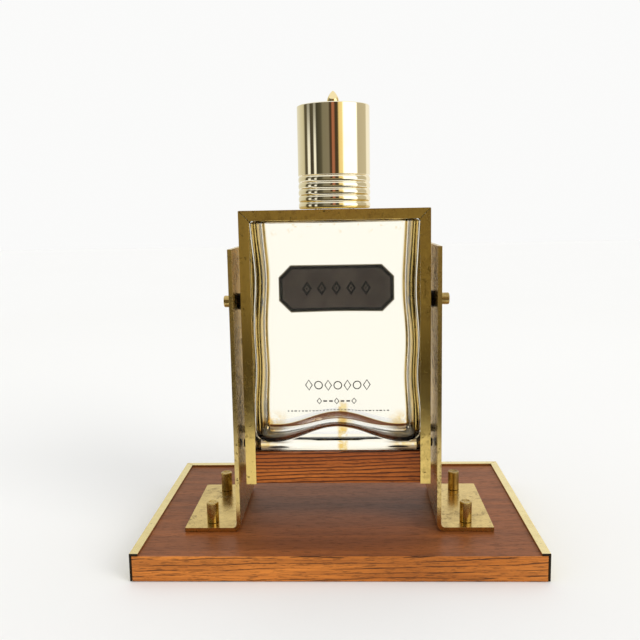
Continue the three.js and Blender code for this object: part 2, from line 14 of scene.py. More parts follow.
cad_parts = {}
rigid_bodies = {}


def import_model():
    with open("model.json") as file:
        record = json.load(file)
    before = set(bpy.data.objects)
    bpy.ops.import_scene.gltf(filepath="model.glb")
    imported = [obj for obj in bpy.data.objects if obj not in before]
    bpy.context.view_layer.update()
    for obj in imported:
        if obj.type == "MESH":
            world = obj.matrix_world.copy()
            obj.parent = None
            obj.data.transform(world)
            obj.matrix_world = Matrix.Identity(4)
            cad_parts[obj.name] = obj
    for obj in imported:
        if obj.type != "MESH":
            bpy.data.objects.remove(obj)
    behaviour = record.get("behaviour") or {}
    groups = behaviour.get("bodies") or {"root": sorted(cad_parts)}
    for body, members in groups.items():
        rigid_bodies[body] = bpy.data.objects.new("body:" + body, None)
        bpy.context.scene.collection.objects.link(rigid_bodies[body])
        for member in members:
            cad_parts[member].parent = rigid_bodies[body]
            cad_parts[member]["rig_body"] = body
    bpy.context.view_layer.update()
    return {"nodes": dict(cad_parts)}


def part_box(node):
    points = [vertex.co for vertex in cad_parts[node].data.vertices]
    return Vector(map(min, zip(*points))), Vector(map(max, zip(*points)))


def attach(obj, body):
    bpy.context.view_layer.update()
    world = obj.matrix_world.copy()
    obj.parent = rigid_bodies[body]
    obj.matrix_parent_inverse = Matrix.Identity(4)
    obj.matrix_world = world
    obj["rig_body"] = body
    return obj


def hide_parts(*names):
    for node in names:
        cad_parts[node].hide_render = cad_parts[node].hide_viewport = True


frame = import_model()
MM = 0.001
scene = bpy.context.scene

# %% [markdown]
# ## Places that several pieces share
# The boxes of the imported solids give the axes: the cap and the neck stand on one upright axis,
# and the two pivot pins share one axis along X.

# %% Shared places
glass_low, glass_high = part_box("glass_bottle")
cap_low, cap_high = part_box("cap_shell")
block_low, block_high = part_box("cradle_block")
pin_low, pin_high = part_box("pivot_pin_right")
board_low, board_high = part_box("base_board")
bar_low, bar_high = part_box("cradle_channel_top")
NECK_X = (cap_low.x + cap_high.x) / 2
NECK_Y = (cap_low.y + cap_high.y) / 2
PIVOT_Z = (pin_low.z + pin_high.z) / 2
print("neck axis", round(NECK_X, 4), round(NECK_Y, 4), "pivot height", round(PIVOT_Z, 4))

# %% [markdown]
# ## Camera
# The camera stands on the -Y side, level with the bottle's shoulders, and looks slightly down at
# the back of the label. Its matrix is built from yaw, pitch and roll, because a tracked target can't roll.

# %% Camera
CAMERA_PLACE = Vector((10.659, -614.432, 263.413)) * MM
CAMERA_YAW, CAMERA_PITCH, CAMERA_ROLL = (math.radians(a) for a in (2.2688, 7.9793, -1.0498))
LENS_MM = 42.27

level_right = Vector((math.cos(CAMERA_YAW), math.sin(CAMERA_YAW), 0))
forward = Vector(
    (
        -math.sin(CAMERA_YAW) * math.cos(CAMERA_PITCH),
        math.cos(CAMERA_YAW) * math.cos(CAMERA_PITCH),
        -math.sin(CAMERA_PITCH),
    )
)
level_up = level_right.cross(forward)
camera_right = math.cos(CAMERA_ROLL) * level_right + math.sin(CAMERA_ROLL) * level_up
camera_up = math.cos(CAMERA_ROLL) * level_up - math.sin(CAMERA_ROLL) * level_right
camera_data = bpy.data.cameras.new("camera")
camera_data.lens = LENS_MM
camera_data.sensor_width = 36
camera_data.clip_start = 0.01
camera = bpy.data.objects.new("camera", camera_data)
scene.collection.objects.link(camera)
turn = Matrix((camera_right, camera_up, -forward)).transposed()
camera.matrix_world = Matrix.Translation(CAMERA_PLACE) @ turn.to_4x4()
scene.camera = camera
print("camera looks along", [round(v, 3) for v in forward])

# %% [markdown]
# ## Writing finishes as sums
# A finish is a small machine of nodes: noise here, a threshold there, and a mix of two colours.
# Written as nodes it is long. Written as sums it is short, so one class wraps a socket and turns
# +, -, * and / into Math nodes, and one method adds any other node.


# %% Signals and finishes
class Signal:
    """One output socket of a finish. Sums on it add Math nodes."""

    def __init__(self, finish, socket):
        self.finish = finish
        self.socket = socket

    def math(self, operation, *others):
        return self.finish.math(operation, self, *others)

    def __add__(self, other):
        return self.math("ADD", other)

    def __radd__(self, other):
        return self.math("ADD", other)

    def __sub__(self, other):
        return self.math("SUBTRACT", other)

    def __rsub__(self, other):
        return self.finish.math("SUBTRACT", other, self)

    def __mul__(self, other):
        return self.math("MULTIPLY", other)

    def __rmul__(self, other):
        return self.math("MULTIPLY", other)

    def __truediv__(self, other):
        return self.math("DIVIDE", other)

    def __abs__(self):
        return self.math("ABSOLUTE")

    def between(self, low, high):
        """0 below low, 1 above high and smooth between them. Low may be the larger."""
        span = self.finish.node(
            "ShaderNodeMapRange",
            {"interpolation_type": "SMOOTHSTEP", "clamp": True},
            {"Value": self, "From Min": min(low, high), "From Max": max(low, high)},
        )
        return span if high > low else 1 - span


class Finish:
    """A material built round one Principled shader."""

    def __init__(self, name, **constants):
        self.material = bpy.data.materials.new(name)
        self.material.use_nodes = True
        self.tree = self.material.node_tree
        self.tree.nodes.clear()
        self.shader = self.tree.nodes.new("ShaderNodeBsdfPrincipled")
        output = self.tree.nodes.new("ShaderNodeOutputMaterial")
        self.tree.links.new(self.shader.outputs[0], output.inputs["Surface"])
        self.object_place = None
        for socket, value in constants.items():
            self.feed(socket.replace("_", " "), value)

    def feed(self, socket, value):
        """Gives one of the shader's sockets a constant or a signal."""
        self.fill(self.shader.inputs[socket], value)

    def fill(self, socket, value):
        if isinstance(value, Signal):
            self.tree.links.new(value.socket, socket)
        elif isinstance(value, tuple) and socket.type == "RGBA" and len(value) == 3:
            socket.default_value = (*value, 1)
        else:
            socket.default_value = value

    def node(self, kind, settings=None, sockets=None, out=0):
        """Adds a node: its settings first, then its sockets, and gives back one output."""
        node = self.tree.nodes.new(kind)
        for name, value in (settings or {}).items():
            if name == "stops":
                self.set_stops(node.color_ramp, value)
            else:
                setattr(node, name, value)
        for name, value in (sockets or {}).items():
            self.fill(node.inputs[name], value)
        return Signal(self, node.outputs[out])

    def set_stops(self, ramp, stops):
        while len(ramp.elements) < len(stops):
            ramp.elements.new(1)
        for element, (place, colour) in zip(ramp.elements, stops):
            element.position = place
            element.color = (*colour, 1)

    def math(self, operation, *values):
        return self.node("ShaderNodeMath", {"operation": operation}, dict(enumerate(values)))

    def place(self, scale=(1, 1, 1), shift=(0, 0, 0)):
        """The piece's own coordinates in metres, stretched and shifted."""
        if self.object_place is None:
            self.object_place = self.node("ShaderNodeTexCoord", out="Object")
        sockets = {"Vector": self.object_place, "Scale": scale, "Location": shift}
        return self.node("ShaderNodeMapping", None, sockets)

    def axis(self, letter):
        """One of the piece's coordinates, in metres."""
        return self.node("ShaderNodeSeparateXYZ", None, {"Vector": self.place()}, out=letter)

    def noise(self, scale, stretch=(1, 1, 1), detail=3, shift=(0, 0, 0), rough=0.5, warp=0):
        """Cloudy noise from 0 to 1, with about scale patches to the metre."""
        sockets = {
            "Vector": self.place(stretch, shift),
            "Scale": scale,
            "Detail": detail,
            "Roughness": rough,
            "Distortion": warp,
        }
        return self.node("ShaderNodeTexNoise", None, sockets)

    def mix(self, share, first, second):
        """Two colours mixed: share 0 gives the first and 1 the second."""
        return self.node(
            "ShaderNodeMix",
            {"data_type": "RGBA"},
            {0: share, 6: first, 7: second},
            out=2,
        )

    def bump(self, height, depth, strength=1.0):
        """Bends the surface's normal by a height signal whose full swing is depth metres."""
        sockets = {"Height": height, "Distance": depth, "Strength": strength}
        self.feed("Normal", self.node("ShaderNodeBump", None, sockets))


# %% [markdown]
# ## Brass that has been handled for years
# The cradle, the uprights and the edging are lacquered brass. Where the lacquer has gone, the metal
# has turned brown in clouds, with small dark freckles, and the rolling lines of the sheet still show
# as faint streaks. Tarnish also makes it duller, so one mask drives the colour and the roughness.
# Two details are painted: the fine seam of the cradle's mitred corners, and painted shade on the
# ends of the edging where it stops at the bare side of the board.


# %% Brass
SEAM_CORE, SEAM_FADE = 0.2 * MM, 0.55 * MM
SEAM_LENGTH = 8 * MM


def mitre_seam(finish):
    """1 on the line where the top channel meets the side channels at 45 degrees."""
    from_side = bar_high.x - abs(finish.axis("X") - NECK_X)
    from_top = bar_high.z - finish.axis("Z")
    line = abs(from_side - from_top).between(SEAM_FADE, SEAM_CORE)
    return line * from_top.between(SEAM_LENGTH + 0.4 * MM, SEAM_LENGTH)


def brass(
    name, clean, tarnished, coverage, dull, streak=(1, 1, 1), dirt=0.0, seed=0.0,
    mitred=False, painted_shade_ends=False,
):
    finish = Finish(name, Metallic=1.0)
    shift = (seed, seed * 1.7, -seed)
    clouds = finish.noise(14, detail=5, shift=shift, rough=0.55)
    mottle = finish.noise(130, detail=4, shift=shift, rough=0.6)
    fine = finish.noise(1100, detail=2, shift=shift)
    streaks = finish.noise(160, stretch=streak, detail=3, shift=shift)
    level = clouds * 0.6 + mottle * 0.4
    worn = level.between(0.66 - coverage * 0.4, 0.86 - coverage * 0.4)
    spots = finish.noise(330, detail=3, shift=shift, rough=0.7).between(0.60, 0.68)
    patches = finish.noise(48, detail=3, shift=shift).between(0.46, 0.60)
    spots = spots * patches
    tone = finish.mix(worn * 0.8, clean, tarnished)
    tone = finish.mix(streaks.between(0.3, 0.8) * 0.3, tone, tarnished)
    dark = tuple(c * 0.2 for c in tarnished)
    if mitred:
        spots = spots.math("MAXIMUM", mitre_seam(finish))
    if dirt:
        grime = finish.noise(240, detail=5, shift=shift, rough=0.7).between(0.5, 0.62)
        spots = spots.math("MAXIMUM", grime * finish.noise(38, detail=3).between(0.42, 0.6) * dirt)
    tone = finish.mix(spots * 0.8, tone, dark)
    if painted_shade_ends:
        # painted shade: the ends of the edging are darkened to near black
        ends = finish.axis("Y").between(board_low.y + 0.8 * MM, board_low.y + 0.4 * MM)
        tone = finish.mix(ends, tone, (0.03, 0.022, 0.014))
    finish.feed("Base Color", tone)
    finish.feed("Roughness", dull + worn * 0.1 + spots * 0.25 + (fine - 0.5) * 0.06)
    finish.bump(mottle * 0.5 + streaks * 0.3 + fine * 0.2 - spots * 0.4, 0.00002, 0.25)
    return finish.material


BRIGHT_BRASS = (0.82, 0.60, 0.19)
BROWN_BRASS = (0.50, 0.35, 0.10)
channel_brass = brass(
    "channel_brass", BRIGHT_BRASS, BROWN_BRASS, 0.5, 0.15, (1, 1, 0.03), 0.5, 0.9, mitred=True
)
bar_brass = brass(
    "bar_brass", BRIGHT_BRASS, BROWN_BRASS, 0.6, 0.15, (0.03, 1, 1), 0.3, 0.31, mitred=True
)
bracket_brass = brass(
    "bracket_brass", (0.76, 0.57, 0.22), (0.40, 0.28, 0.10), 0.5, 0.2, (1, 1, 0.04), 0.6, 0.7
)
trim_brass = brass(
    "trim_brass", (0.90, 0.78, 0.42), (0.70, 0.54, 0.22), 0.3, 0.24, seed=1.3, painted_shade_ends=True
)
nut_brass = brass(
    "nut_brass", (0.64, 0.47, 0.17), (0.32, 0.21, 0.07), 0.6, 0.22, (1, 1, 0.2), 0.5, 2.1
)
print("brass finishes made")

# %% [markdown]
# ## Gold plate
# The cap is thin metal plated pale gold and polished like a mirror. A mirror without flaws looks
# false, so very fine hairlines run round it and a few faint smears lift the roughness.


# %% Gold plate
def gold_plate(name, colour):
    finish = Finish(name, Metallic=1.0)
    hairs = finish.noise(500, stretch=(0.06, 0.06, 1), detail=2)
    smears = finish.noise(45, detail=4, rough=0.6)
    dust = finish.noise(1400, detail=1).between(0.7, 0.78)
    warm = tuple(c * f for c, f in zip(colour, (0.97, 0.9, 0.74)))
    finish.feed("Base Color", finish.mix(smears.between(0.4, 0.8) * 0.35, colour, warm))
    finish.feed("Roughness", 0.035 + smears.between(0.5, 0.8) * 0.06 + dust * 0.1)
    finish.bump(hairs * 0.7 + smears * 0.3, 0.000012, 0.25)
    return finish.material


cap_gold = gold_plate("cap_gold", (0.93, 0.86, 0.66))
finial_gold = gold_plate("finial_gold", (0.95, 0.80, 0.45))

# %% [markdown]
# ## Stained oak
# The board and the block are oak under a satin varnish. Oak shows three things at three scales:
# broad bands of lighter and darker wood, long dark lines where the open pores of each year's growth
# are cut, and short fine pores along the grain. All of them run along X, so each noise is squeezed
# along that axis. The board's bare edge, on the -Y side, has the same stain, but it is given a
# lighter tone than its top as painted light, for the low light that falls on the edge more than on the
# top.


# %% Oak
def oak(name, pale, deep, pore, line_pitch, line_share, line_start, breaks, edge=None):
    finish = Finish(name, IOR=1.45, Coat_Roughness=0.3, Specular_IOR_Level=0.22)
    warp = finish.noise(5, stretch=(1.6, 9, 9), detail=4)
    bands = finish.noise(70, stretch=(0.06, 1, 1), detail=4, warp=0.3)
    height = finish.axis("Z") + finish.axis("Y") * 0.3 - finish.axis("X") * 0.02
    rings = (height * line_pitch + warp * 3.2).math("FRACT")
    lines = rings.between(line_start, 0.92) * rings.between(1.0, 0.96)
    broken = finish.noise(110, stretch=(0.18, 1, 1), detail=5, rough=0.7).between(*breaks)
    pores = finish.noise(1500, stretch=(0.09, 1, 1), detail=2, rough=0.6).between(0.52, 0.66)
    fibres = finish.noise(900, stretch=(0.03, 1, 1), detail=4)
    streaks = finish.noise(260, stretch=(0.03, 1, 1), detail=3).between(0.35, 0.7)
    tone = finish.mix(bands.between(0.3, 0.7), deep, pale)
    share = line_share
    if edge:
        # painted light: the board's bare -Y edge gets a lighter tone than its top, for the low light that
        # falls on it
        front = finish.axis("Y").between(edge["y"] + 0.0010, edge["y"] + 0.0004)
        lit_edge_tone = finish.mix(bands.between(0.3, 0.7), edge["deep"], edge["pale"])
        tone = finish.mix(front, tone, lit_edge_tone)
        share = front * (edge["lines"] - line_share) + line_share
    tone = finish.mix(streaks * 0.35, tone, deep)
    tone = finish.mix(fibres.between(0.35, 0.7) * 0.4, tone, deep)
    dark = (lines * broken * share).math("MAXIMUM", pores * 0.55)
    finish.feed("Base Color", finish.mix(dark, tone, pore))
    finish.feed("Roughness", 0.46 + dark * 0.2 - fibres * 0.1)
    finish.feed("Coat Weight", 0.04 - dark * 0.03)
    finish.bump(fibres * 0.5 - dark * 0.9, 0.00008, 0.3)
    return finish.material


board_oak = oak(
    "board_oak",
    pale=(0.330, 0.098, 0.022),
    deep=(0.190, 0.054, 0.012),
    pore=(0.040, 0.014, 0.006),
    line_pitch=230,
    line_share=0.2,
    line_start=0.76,
    breaks=(0.40, 0.52),
    edge={
        "y": board_low.y,
        "pale": (0.74, 0.250, 0.040),
        "deep": (0.46, 0.140, 0.020),
        "lines": 0.95,
    },
)
block_oak = oak(
    "block_oak",
    pale=(0.56, 0.165, 0.026),
    deep=(0.33, 0.082, 0.014),
    pore=(0.045, 0.013, 0.006),
    line_pitch=330,
    line_share=1.0,
    line_start=0.45,
    breaks=(0.24, 0.42),
)
print("oak finishes made")

# %% [markdown]
# ## Glass
# The bottle is clear pressed glass with a faint warm cast. Its faces are not quite flat, so what is
# behind them wavers; a slow, shallow bump does that. Dried cologne has left amber marks in the lower
# corners and a few drops on the faces: they tint the glass, so they go into its colour. Both ends of
# the foot are darkened with painted shade, which stands for the dark frame below seen through the
# glass. A specular tint far below 1 weakens the glass's own reflections, which would otherwise veil
# the label behind it.

# %% Glass
glass = Finish("bottle_glass", Roughness=0.0, IOR=1.5, Specular_Tint=(0.2, 0.19, 0.17))
glass.feed("Transmission Weight", 1.0)
across = abs(glass.axis("X"))
height = glass.axis("Z")
low_corner = across.between(0.038, 0.054) * height.between(0.100, 0.086)
low_corner = low_corner * glass.noise(90, detail=5, rough=0.65).between(0.40, 0.58)
drip = abs(glass.axis("X") - 0.004).between(0.0055, 0.002) * height.between(0.108, 0.100)
drip = drip * glass.noise(150, detail=3, shift=(0, 0, 0.3)).between(0.42, 0.55)
shoulder = height.between(0.244, 0.256) * glass.noise(170, detail=3).between(0.64, 0.70)
above_foot = height - glass_low.z
film = above_foot.between(0.0065, 0.001) * glass.noise(55, stretch=(1, 1, 3), detail=4)
stain = low_corner.math("MAXIMUM", drip).math("MAXIMUM", shoulder * 0.6).math("MAXIMUM", film * 0.5)
# painted shade: both ends of the foot are darkened to stand for the dark frame seen below them
painted_foot_shade = above_foot.between(0.0052, 0.0040) * across.between(0.036, 0.050)
clear_tone = glass.mix(stain, (0.985, 0.98, 0.958), (0.84, 0.60, 0.20))
glass.feed("Base Color", glass.mix(painted_foot_shade * 0.9, clear_tone, (0.05, 0.015, 0.012)))
sway = glass.noise(14, stretch=(1, 0.2, 0.5), detail=1)
glass.bump(sway, 0.0012, 0.5)
bottle_glass = glass.material

# %% [markdown]
# ## Small finishes
# Rubber, felt, plastic, foam and steel each need only a base tone, a texture at its true scale and
# a roughness.


# %% Small finishes
def plain(name, light, dark, scale, roughness, depth, metallic=0.0):
    finish = Finish(name, Metallic=metallic)
    grain = finish.noise(scale, detail=4, rough=0.65)
    cloud = finish.noise(scale / 12, detail=3)
    finish.feed("Base Color", finish.mix(grain * 0.6 + cloud * 0.4, dark, light))
    finish.feed("Roughness", roughness + (grain - 0.5) * 0.2)
    finish.bump(grain, depth, 0.5)
    return finish.material


rubber = plain("black_rubber", (0.030, 0.028, 0.027), (0.010, 0.009, 0.009), 1800, 0.62, 0.00003)
felt = plain("felt_fibre", (0.075, 0.062, 0.068), (0.020, 0.016, 0.020), 2600, 0.93, 0.00020)
plastic = plain("cap_plastic", (0.80, 0.78, 0.72), (0.72, 0.69, 0.61), 900, 0.42, 0.00001)
foam = plain("liner_foam", (0.86, 0.84, 0.79), (0.66, 0.63, 0.57), 2400, 0.88, 0.00012)
steel = plain("zinc_steel", (0.62, 0.61, 0.58), (0.38, 0.37, 0.36), 1300, 0.38, 0.00002, 1.0)
print("small finishes made")


# %% [markdown]
# ## How pieces are finished and placed
# Every piece ends the same way: its mesh goes into an object at the origin, smooth shaded, with a
# finish and a body to ride on, and the solid it stands for is hidden. Pressed and sawn pieces start
# as a merged copy of their solid, whose sharp edges are then eased by a small round, because no real
# edge is perfectly sharp and the round is what catches the light.


# %% Finishing helpers
def piece(name, bm, body, finish, slot, *nodes):
    mesh = bpy.data.meshes.new(name)
    bm.to_mesh(mesh)
    bm.free()
    mesh.shade_smooth()
    obj = bpy.data.objects.new(name, mesh)
    scene.collection.objects.link(obj)
    for material in finish if isinstance(finish, list) else [finish]:
        mesh.materials.append(material)
    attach(obj, body)
    if nodes:
        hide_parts(*nodes)
    return obj


def merged_copy(node):
    bm = bmesh.new()
    bm.from_mesh(frame["nodes"][node].data)
    bmesh.ops.remove_doubles(bm, verts=bm.verts, dist=1e-6)
    bmesh.ops.dissolve_limit(
        bm, angle_limit=math.radians(1), verts=bm.verts, edges=bm.edges, use_dissolve_boundaries=False
    )
    return bm


SHARP_ANGLE = math.radians(30)


def ease(obj, radius, segments=2):
    """A small round on the sharp edges, which leaves the flat faces flat."""
    edge_round = obj.modifiers.new("eased edges", "BEVEL")
    edge_round.width = radius
    edge_round.segments = segments
    edge_round.limit_method = "ANGLE"
    edge_round.angle_limit = SHARP_ANGLE
    edge_round.use_clamp_overlap = True
    obj.modifiers.new("steady normals", "WEIGHTED_NORMAL")
    return obj


def body_of(node):
    return frame["nodes"][node]["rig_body"]


def eased_copy(node, finish, slot, radius, segments=2):
    obj = piece(node + "_fine", merged_copy(node), body_of(node), finish, slot, node)
    return ease(obj, radius, segments)


# %% [markdown]
# ## Wood
# The board was sawn and planed, then its one bare edge was rubbed round with paper. The brass
# covers its other edges. The block in the cradle is the same, with a slightly smaller round.

# %% Wooden pieces
eased_copy("base_board", board_oak, "oak", 1.1 * MM, 3)
eased_copy("cradle_block", block_oak, "oak", 0.7 * MM, 3)

# %% [markdown]
# ## Sheet and bar brass
# Channel, angle and bar come out of the mill with crisp edges that a cloth has barely softened, so
# their rounds are a few tenths of a millimetre. The streaks of each finish follow its own length.
# The two felt pads under the bottle are cut from sheet too, so they are eased in the same loop.

# %% Brass sections
for side in ("left", "right"):
    eased_copy(f"cradle_channel_{side}", channel_brass, "brass", 0.22 * MM)
    eased_copy(f"bracket_{side}", bracket_brass, "worn_brass", 0.35 * MM)
    eased_copy(f"edge_trim_{side}", trim_brass, "brass", 0.25 * MM)
    eased_copy(f"rest_pad_{side}", felt, "felt", 0.15 * MM)
eased_copy("cradle_channel_top", bar_brass, "brass", 0.22 * MM)
eased_copy("edge_trim_front", trim_brass, "brass", 0.25 * MM)
print("brass sections eased")

# %% [markdown]
# ## Turned pieces
# Nuts, cap, finial, spacers and bumpers are round, so each is a profile of radius and height spun
# about its axis. A full spin has to merge its last ring with its first, and the points on the axis
# fall together, so doubles are merged before the normals are made to agree.


# %% Turning helper
def turned(profile, steps=48):
    """A profile of (radius, height) points spun round the Z axis."""
    bm = bmesh.new()
    verts = [bm.verts.new((radius, 0, height)) for radius, height in profile]
    edges = [bm.edges.new(pair) for pair in zip(verts, verts[1:])]
    bmesh.ops.spin(
        bm,
        geom=verts + edges,
        cent=(0, 0, 0),
        axis=(0, 0, 1),
        dvec=(0, 0, 0),
        angle=2 * math.pi,
        steps=steps,
        use_merge=True,
        use_duplicate=False,
    )
    bmesh.ops.remove_doubles(bm, verts=bm.verts, dist=1e-6)
    bmesh.ops.recalc_face_normals(bm, faces=bm.faces)
    return bm


def set_at(bm, place, sideways=0):
    """Moves a turned piece to its place, laid along +X or -X if sideways is 1 or -1."""
    tilt = Matrix.Rotation(math.pi / 2 * sideways, 4, "Y")
    bmesh.ops.transform(bm, matrix=Matrix.Translation(place) @ tilt, verts=bm.verts)
    return bm


# %% [markdown]
# ## Round nuts
# Each nut is turned from rod: a chamfer round its free end, and in that end a shallow round recess
# with a slightly raised middle.


# %% Nuts
def nut_profile(radius, length):
    chamfer = 0.6 * MM
    return [
        (0, 0),
        (radius, 0),
        (radius, length - chamfer),
        (radius - chamfer, length),
        (radius * 0.62, length),
        (radius * 0.56, length - 0.45 * MM),
        (radius * 0.24, length - 0.45 * MM),
        (radius * 0.2, length - 0.2 * MM),
        (0, length - 0.2 * MM),
    ]


for side in ("left", "right"):
    sign = -1 if side == "left" else 1
    for end in ("rear", "front"):
        low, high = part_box(f"foot_nut_{side}_{end}")
        centre = Vector(((low.x + high.x) / 2, (low.y + high.y) / 2, low.z))
        bm = set_at(turned(nut_profile((high.x - low.x) / 2, high.z - low.z)), centre)
        obj = piece(
            f"foot_nut_{side}_{end}_fine", bm, "stand", nut_brass, "brass", f"foot_nut_{side}_{end}"
        )
        ease(obj, 0.12 * MM)
    low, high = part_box(f"pivot_nut_{side}")
    start = low.x if sign > 0 else high.x
    bm = turned(nut_profile((high.z - low.z) / 2, high.x - low.x))
    set_at(bm, (start, (low.y + high.y) / 2, PIVOT_Z), sign)
    obj = piece(
        f"pivot_nut_{side}_fine", bm, "cradle", nut_brass, "brass", f"pivot_nut_{side}"
    )
    ease(obj, 0.12 * MM)
print("nuts turned")

# %% [markdown]
# ## Spacers and bumpers
# The rubber spacer is a ring on the pivot pin. The bumpers are moulded buttons with a domed face.

# %% Rubber pieces
for side in ("left", "right"):
    sign = -1 if side == "left" else 1
    low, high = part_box(f"pivot_spacer_{side}")
    outer = (high.z - low.z) / 2
    hole = (pin_high.z - pin_low.z) / 2 + 0.15 * MM
    width = high.x - low.x
    ring = [(hole, 0), (outer, 0), (outer, width), (hole, width), (hole, 0)]
    bm = set_at(turned(ring), (low.x if sign > 0 else high.x, NECK_Y, PIVOT_Z), sign)
    obj = piece(
        f"pivot_spacer_{side}_fine", bm, "cradle", rubber, "black_rubber", f"pivot_spacer_{side}"
    )
    ease(obj, 0.3 * MM, 3)
    for end in ("rear", "front"):
        low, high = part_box(f"side_bumper_{side}_{end}")
        radius = (high.z - low.z) / 2
        width = high.x - low.x
        dome = [(0, 0), (radius, 0), (radius, width * 0.6), (radius * 0.86, width * 0.88)]
        dome += [(radius * 0.5, width * 0.98), (0, width)]
        place = (low.x if sign > 0 else high.x, (low.y + high.y) / 2, (low.z + high.z) / 2)
        piece(
            f"side_bumper_{side}_{end}_fine",
            set_at(turned(dome, 32), place, sign),
            "cradle",
            rubber,
            "black_rubber",
            f"side_bumper_{side}_{end}",
        )
print("rubber pieces turned")

# %% [markdown]
# ## Cap
# The cap is a deep cup pressed from thin sheet, with five rolled beads round its open end and a
# tight radius at its closed end. The beads are half-round in section, so the profile steps along
# an arc for each. The finial is a short collar under a pointed dome.

# %% Cap shell
BEADS = 5
BEAD_STEPS = 10
cap_radius = (cap_high.x - cap_low.x) / 2
cap_tall = cap_high.z - cap_low.z
bead_pitch = 5.0 * MM
bead_depth = 0.9 * MM
cap_wall = 1.0 * MM
cap_corner = 0.8 * MM
inner_radius = cap_radius - bead_depth - cap_wall
cap_profile = [(0, cap_tall - cap_wall), (inner_radius, cap_tall - cap_wall), (inner_radius, 0)]
for bead in range(BEADS):
    for step in range(BEAD_STEPS):
        along = step / BEAD_STEPS
        bulge = math.sqrt(math.sin(math.pi * along)) if along > 0 else 0
        cap_profile.append((cap_radius - bead_depth * (1 - bulge), (bead + along) * bead_pitch))
beads_top = BEADS * bead_pitch
cap_profile += [
    (cap_radius - bead_depth, beads_top),
    (cap_radius - bead_depth * 0.75, beads_top + 0.25 * MM),
    (cap_radius - bead_depth * 0.2, beads_top + 0.6 * MM),
    (cap_radius, beads_top + 1.1 * MM),
    (cap_radius, cap_tall - cap_corner),
    (cap_radius - cap_corner * 0.3, cap_tall - cap_corner * 0.3),
    (cap_radius - cap_corner, cap_tall),
    (0, cap_tall),
]
cap_place = Vector((NECK_X, NECK_Y, cap_low.z))
obj = piece(
    "cap_shell_fine",
    set_at(turned(cap_profile, 128), cap_place),
    "cap",
    cap_gold,
    "gold_plate",
    "cap_shell",
)
obj.modifiers.new("steady normals", "WEIGHTED_NORMAL")
print("cap", round(cap_radius * 2, 4), "across", round(cap_tall, 4), "tall")

# %% Finial and sleeve
low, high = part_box("cap_finial")
finial_base = cap_high.z
radius = (high.x - low.x) / 2
tall = high.z - finial_base
finial_shape = ((1, 0.12), (1, 0.32), (0.93, 0.47), (0.77, 0.62), (0.52, 0.79), (0.22, 0.93))
finial_profile = [(0, 0.02 * MM), (radius, 0.02 * MM)]
finial_profile += [(radius * out, tall * up) for out, up in finial_shape]
finial_profile.append((0, tall))
piece(
    "cap_finial_fine",
    set_at(turned(finial_profile, 48), Vector((NECK_X, NECK_Y, finial_base))),
    "cap",
    finial_gold,
    "brass",
    "cap_finial",
)
low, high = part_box("cap_sleeve")
liner_low, liner_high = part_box("cap_liner")
bore = (liner_high.x - liner_low.x) / 2 + 0.3 * MM
flange = (high.x - low.x) / 2
sleeve_wall = 2 * MM
ceiling = liner_high.z + 0.3 * MM - low.z
sleeve_profile = [(0, ceiling), (bore, ceiling), (bore, 0), (flange, 0), (flange, sleeve_wall)]
sleeve_profile += [
    (bore + sleeve_wall, sleeve_wall),
    (bore + sleeve_wall, high.z - low.z),
    (0, high.z - low.z),
]
obj = piece(
    "cap_sleeve_fine",
    set_at(turned(sleeve_profile, 64), Vector((NECK_X, NECK_Y, low.z))),
    "cap",
    plastic,
    "white_plastic",
    "cap_sleeve",
)
ease(obj, 0.3 * MM)
print("finial and sleeve turned")

# %% [markdown]
# ## Bottle
# The bottle is one skin: a rounded block outside, the cavity inside, and the neck that joins them.
# The outside starts as a block whose corners and edges are rounded by bevels. Planes then cut
# it into strips, so that its underside can be pushed up into the hollow that glassmakers call the
# punt. The cavity is made the same way, and its side walls and floor are pushed about to follow the
# uneven flow of pressed glass. The neck is spun, and flat fills close the gaps between the three.


# %% Bottle helpers
def rounded_block(low, high, corner, edge, segments):
    """A block with rounded corners, seen from the front, and rounded edges round its two faces."""
    bm = bmesh.new()
    bmesh.ops.create_cube(bm, size=1)
    size = Matrix.Diagonal((*(high - low), 1))
    bmesh.ops.transform(bm, matrix=Matrix.Translation((low + high) / 2) @ size, verts=bm.verts)
    along_y = [e for e in bm.edges if abs(e.verts[0].co.y - e.verts[1].co.y) > 1e-6]
    rounding = {"offset_type": "OFFSET", "profile": 0.5, "affect": "EDGES", "material": -1}
    bmesh.ops.bevel(bm, geom=along_y, offset=corner, segments=segments, **rounding)
    bm.normal_update()
    rims = [e for e in bm.edges if abs(e.verts[0].co.y - e.verts[1].co.y) < 1e-6]
    rims = [e for e in rims if e.calc_face_angle() > 1]
    bmesh.ops.bevel(bm, geom=rims, offset=edge, segments=segments, clamp_overlap=True, **rounding)
    return bm


def sliced(bm, axis, low, high, pitch):
    """Cuts the whole skin by planes across one axis."""
    count = int((high - low) / pitch)
    for step in range(1, count):
        place, normal = Vector(), Vector()
        place[axis] = low + (high - low) * step / count
        normal[axis] = 1
        geom = bm.verts[:] + bm.edges[:] + bm.faces[:]
        bmesh.ops.bisect_plane(bm, geom=geom, plane_co=place, plane_no=normal, dist=1e-7)


def opened(bm, height):
    """Takes out the flat faces at one height, and gives back the edges round the hole."""
    flat = [f for f in bm.faces if all(abs(v.co.z - height) < 1e-6 for v in f.verts)]
    bmesh.ops.delete(bm, geom=flat, context="FACES")
    return [e for e in bm.edges if e.is_boundary]


def hill(x, y, width, depth):
    """1 in the middle of an oval and 0 from its rim outwards, smooth between."""
    reach = min(1.0, math.hypot((x - NECK_X) / (width / 2), (y - NECK_Y) / (depth / 2)))
    return math.cos(reach * math.pi / 2) ** 2


